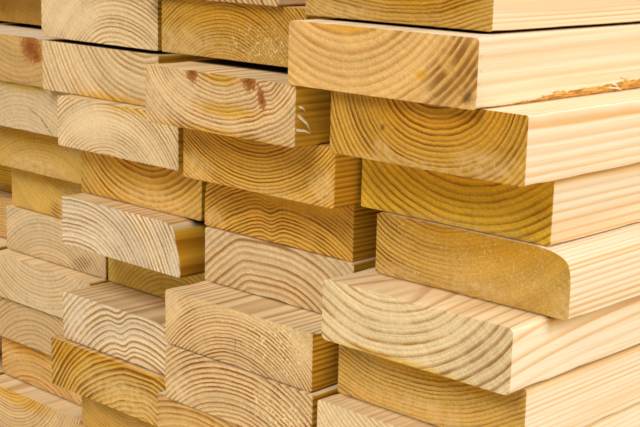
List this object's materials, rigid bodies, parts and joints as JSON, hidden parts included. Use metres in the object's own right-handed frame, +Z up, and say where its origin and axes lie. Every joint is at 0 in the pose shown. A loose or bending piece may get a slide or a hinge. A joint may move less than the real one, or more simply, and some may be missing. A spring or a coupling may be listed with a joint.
{
  "type": "stack of lumber",
  "caption": "Free-standing stack of sawn softwood boards laid flat in tight courses, their ends unevenly staggered.",
  "frame": {"origin": "under the middle of the stack, on the level surface that it lies on", "axes": "+Y along the boards, away from the end that the picture shows; +X towards the sunlit long side that the picture shows; +Z up"},
  "size_m": [0.802, 2.553, 0.4612],
  "materials": {
    "softwood": "dry sawn softwood, unfinished and matt"
  },
  "bodies": {
    "root": {"boards_course_01": "softwood", "boards_course_02": "softwood", "boards_course_03": "softwood", "boards_course_04": "softwood", "boards_course_05": "softwood", "boards_course_06": "softwood", "boards_course_07": "softwood", "boards_course_08": "softwood", "boards_course_09": "softwood", "boards_course_10": "softwood", "boards_course_11": "softwood", "boards_course_12": "softwood"}
  },
  "joints": []
}
